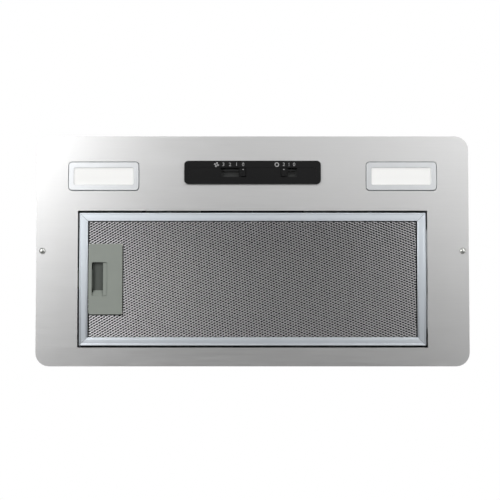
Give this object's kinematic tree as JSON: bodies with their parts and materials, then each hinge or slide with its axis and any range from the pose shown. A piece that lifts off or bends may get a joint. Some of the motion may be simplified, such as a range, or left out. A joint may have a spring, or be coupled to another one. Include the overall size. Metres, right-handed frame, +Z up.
{
  "type": "range hood insert",
  "caption": "Built-in range hood insert: stainless fascia with grease filter, lamps and sliding controls, and a casing with a centrifugal blower and a round duct collar.",
  "frame": {"origin": "centre of the plane in which the fascia's folded flange lies against the underside of the cabinet", "axes": "+Z up into the cabinet, +Y towards the wall behind the cooker, +X to the right along the fascia's long side as seen in the picture; the filter's handle is on the -X side"},
  "size_m": [0.545, 0.29, 0.2273],
  "materials": {
    "stainless": "brushed stainless sheet",
    "galvanised": "zinc-coated sheet, matt",
    "aluminium": "anodised, satin",
    "mesh_aluminium": "expanded mesh, mill finish",
    "spring_steel": "blued spring strip and wire",
    "steel": "pressed and turned, satin",
    "zinc": "bright zinc plate",
    "motor_core": "varnished laminations",
    "black_plastic": "moulded, fine satin",
    "dark_plastic": "moulded, matt",
    "grey_plastic": "moulded, satin",
    "silver_plastic": "silver-painted moulding",
    "white_plastic": "moulded, matt",
    "diffuser": "opal diffuser",
    "rubber": "moulded rubber",
    "circuit_board": "solder mask",
    "white_board": "white solder mask",
    "cable": "sheathed flex"
  },
  "bodies": {
    "casing": {"fascia": "stainless", "fixing_screw_left": "zinc", "fixing_screw_right": "zinc", "casing_wrap": "galvanised", "end_panel_right": "galvanised", "end_panel_left": "galvanised", "spring_clip_right_front": "spring_steel", "spring_clip_left_front": "spring_steel", "spring_clip_right_rear": "spring_steel", "spring_clip_left_rear": "spring_steel", "outlet_collar": "black_plastic", "scroll_right": "dark_plastic", "scroll_left": "dark_plastic", "motor_can": "steel", "motor_end_cap": "steel", "bearing_left": "steel", "bearing_right": "steel", "stator": "motor_core", "grommet_1": "rubber", "grommet_2": "rubber", "grommet_3": "rubber", "motor_bracket": "galvanised", "terminal_base": "white_plastic", "terminal_cover": "grey_plastic", "run_capacitor": "white_plastic", "cable_gland": "black_plastic", "motor_lead": "cable", "control_lead": "cable", "lamp_lead_right": "cable", "lamp_lead_left": "cable", "control_strip": "black_plastic", "control_box": "white_plastic", "switch_board": "circuit_board", "lamp_bezel_left": "silver_plastic", "lamp_diffuser_left": "diffuser", "lamp_tray_left": "galvanised", "led_board_left": "white_board", "lamp_bezel_right": "silver_plastic", "lamp_diffuser_right": "diffuser", "lamp_tray_right": "galvanised", "led_board_right": "white_board"},
    "impeller": {"impeller": "dark_plastic", "motor_shaft": "steel", "rotor": "motor_core", "hub_nut": "zinc"},
    "flap_front": {"flap_front": "dark_plastic"},
    "flap_rear": {"flap_rear": "dark_plastic"},
    "fan_knob": {"fan_knob": "black_plastic"},
    "lamp_knob": {"lamp_knob": "black_plastic"},
    "filter": {"filter_rail_right": "aluminium", "filter_rail_left": "aluminium", "filter_rail_front": "aluminium", "filter_rail_rear": "aluminium", "filter_mesh_lower": "mesh_aluminium", "filter_pleats": "mesh_aluminium", "filter_mesh_upper": "mesh_aluminium", "handle_housing": "grey_plastic", "hinge_plate": "steel"},
    "latch": {"latch_slide": "grey_plastic", "latch_spring": "spring_steel"}
  },
  "joints": [
    {"name": "impeller_spin", "type": "hinge", "parent": "casing", "child": "impeller", "pos_m": [0, 0.028, 0.08997], "axis": [-1, 0, 0], "continuous": true},
    {"name": "flap_front_hinge", "type": "hinge", "parent": "casing", "child": "flap_front", "pos_m": [0, -0.02071, 0.1863], "axis": [-1, 0, 0], "range_deg": [0, 80]},
    {"name": "flap_rear_hinge", "type": "hinge", "parent": "casing", "child": "flap_rear", "pos_m": [0, -0.01371, 0.1863], "axis": [1, 0, 0], "range_deg": [0, 80]},
    {"name": "fan_slide", "type": "slide", "parent": "casing", "child": "fan_knob", "axis": [-1, 0, 0], "range_m": [0, 0.0249]},
    {"name": "lamp_slide", "type": "slide", "parent": "casing", "child": "lamp_knob", "axis": [1, 0, 0], "range_m": [0, 0.013]},
    {"name": "filter_swing", "type": "hinge", "parent": "casing", "child": "filter", "pos_m": [0.21915, 0.0355, -0.0021], "axis": [0, -1, 0], "range_deg": [0, 60]},
    {"name": "latch_pull", "type": "slide", "parent": "filter", "child": "latch", "axis": [1, 0, 0], "range_m": [0, 0.007], "stiffness_N_per_m": 300, "springref_m": -0.005, "deforming": ["latch_spring"]}
  ]
}
